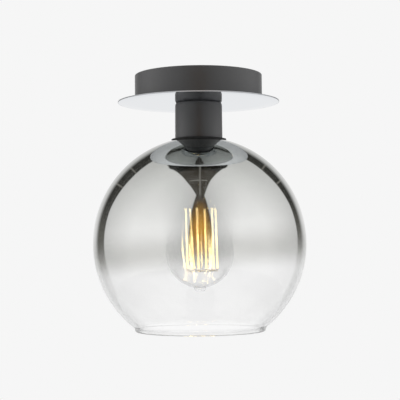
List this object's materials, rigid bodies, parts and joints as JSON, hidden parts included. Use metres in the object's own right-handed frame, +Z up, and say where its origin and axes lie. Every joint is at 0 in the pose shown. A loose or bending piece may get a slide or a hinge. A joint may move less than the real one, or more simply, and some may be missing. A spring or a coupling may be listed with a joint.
{
  "type": "semi flush ceiling light",
  "caption": "Semi flush ceiling light: a shallow round canopy and a polished disc over a lampholder cup, with a clear glass globe mirrored at the top, open below, round a filament lamp.",
  "frame": {"origin": "on the ceiling plane, on the light's axis, at the centre of the bracket's two screw holes", "axes": "+Z up into the ceiling, X along the bracket, the light hangs towards -Z"},
  "size_m": [0.2, 0.2, 0.2406],
  "materials": {
    "zinc_steel": "zinc plated",
    "charcoal_coat": "satin powder coat",
    "white_plastic": "moulded",
    "brass_contact": "plain",
    "brown_insulation": "insulation",
    "blue_insulation": "insulation",
    "green_insulation": "insulation",
    "tinned_tag": "tinned",
    "polished_steel": "mirror polished",
    "black_phenolic": "moulded",
    "holder_ceramic": "unglazed",
    "black_rubber": "soft",
    "shade_glass": "clear, mirrored towards the top",
    "dark_vitrite": "dark and opaque",
    "nickel_cap": "nickel plated",
    "circuit_board": "laminate",
    "dark_component": "moulded",
    "lamp_glass": "clear",
    "nickel_wire": "drawn",
    "lit_filament": "phosphor coating"
  },
  "bodies": {
    "fixture": {"ceiling_bracket": "zinc_steel", "canopy": "charcoal_coat", "canopy_screws": "zinc_steel", "terminal_block": "white_plastic", "terminal_barrels": "brass_contact", "terminal_screws": "zinc_steel", "block_screw": "zinc_steel", "live_wire": "brown_insulation", "neutral_wire": "blue_insulation", "earth_wire": "green_insulation", "earth_tag": "tinned_tag", "nipple": "zinc_steel", "nipple_washer": "zinc_steel", "canopy_nut": "zinc_steel", "cover_nut": "zinc_steel", "mirror_disc": "polished_steel", "lampholder_cover": "charcoal_coat", "holder_cap": "black_phenolic", "holder_insert": "holder_ceramic", "holder_skirt": "black_phenolic", "holder_terminals": "brass_contact", "holder_terminal_screws": "zinc_steel", "screw_shell": "brass_contact", "shell_rivets": "brass_contact", "centre_contact": "brass_contact", "contact_rivet": "brass_contact"},
    "shade": {"glass_shade": "shade_glass", "shade_gasket": "black_rubber", "ring_washer": "black_rubber"},
    "ring": {"shade_ring": "black_phenolic"},
    "lamp_carrier": {"bulb_contact": "tinned_tag"},
    "lamp": {"bulb_insulator": "dark_vitrite", "bulb_cap": "nickel_cap", "driver_board": "circuit_board", "driver_parts": "dark_component", "bulb_glass": "lamp_glass", "bulb_stem": "lamp_glass", "lead_wires": "nickel_wire", "filaments": "lit_filament", "filament_support": "nickel_wire"}
  },
  "joints": [
    {"name": "shade_drop", "type": "slide", "parent": "fixture", "child": "shade", "axis": [0, 0, -1], "range_m": [0, 0.01]},
    {"name": "ring_turn", "type": "hinge", "parent": "shade", "child": "ring", "pos_m": [0, 0, -0.0705], "axis": [0, 0, -1], "range_deg": [0, 1440]},
    {"name": "lamp_drop", "type": "slide", "parent": "fixture", "child": "lamp_carrier", "axis": [0, 0, -1], "range_m": [0, 0.01452]},
    {"name": "lamp_turn", "type": "hinge", "parent": "lamp_carrier", "child": "lamp", "pos_m": [0, 0, -0.0754], "axis": [0, 0, -1], "range_deg": [0, 1440]}
  ],
  "couplings": [
    {"joint": "ring_turn", "follows": "shade_drop", "rad_per_m": 2513.3},
    {"joint": "lamp_turn", "follows": "lamp_drop", "rad_per_m": 1731.4}
  ]
}
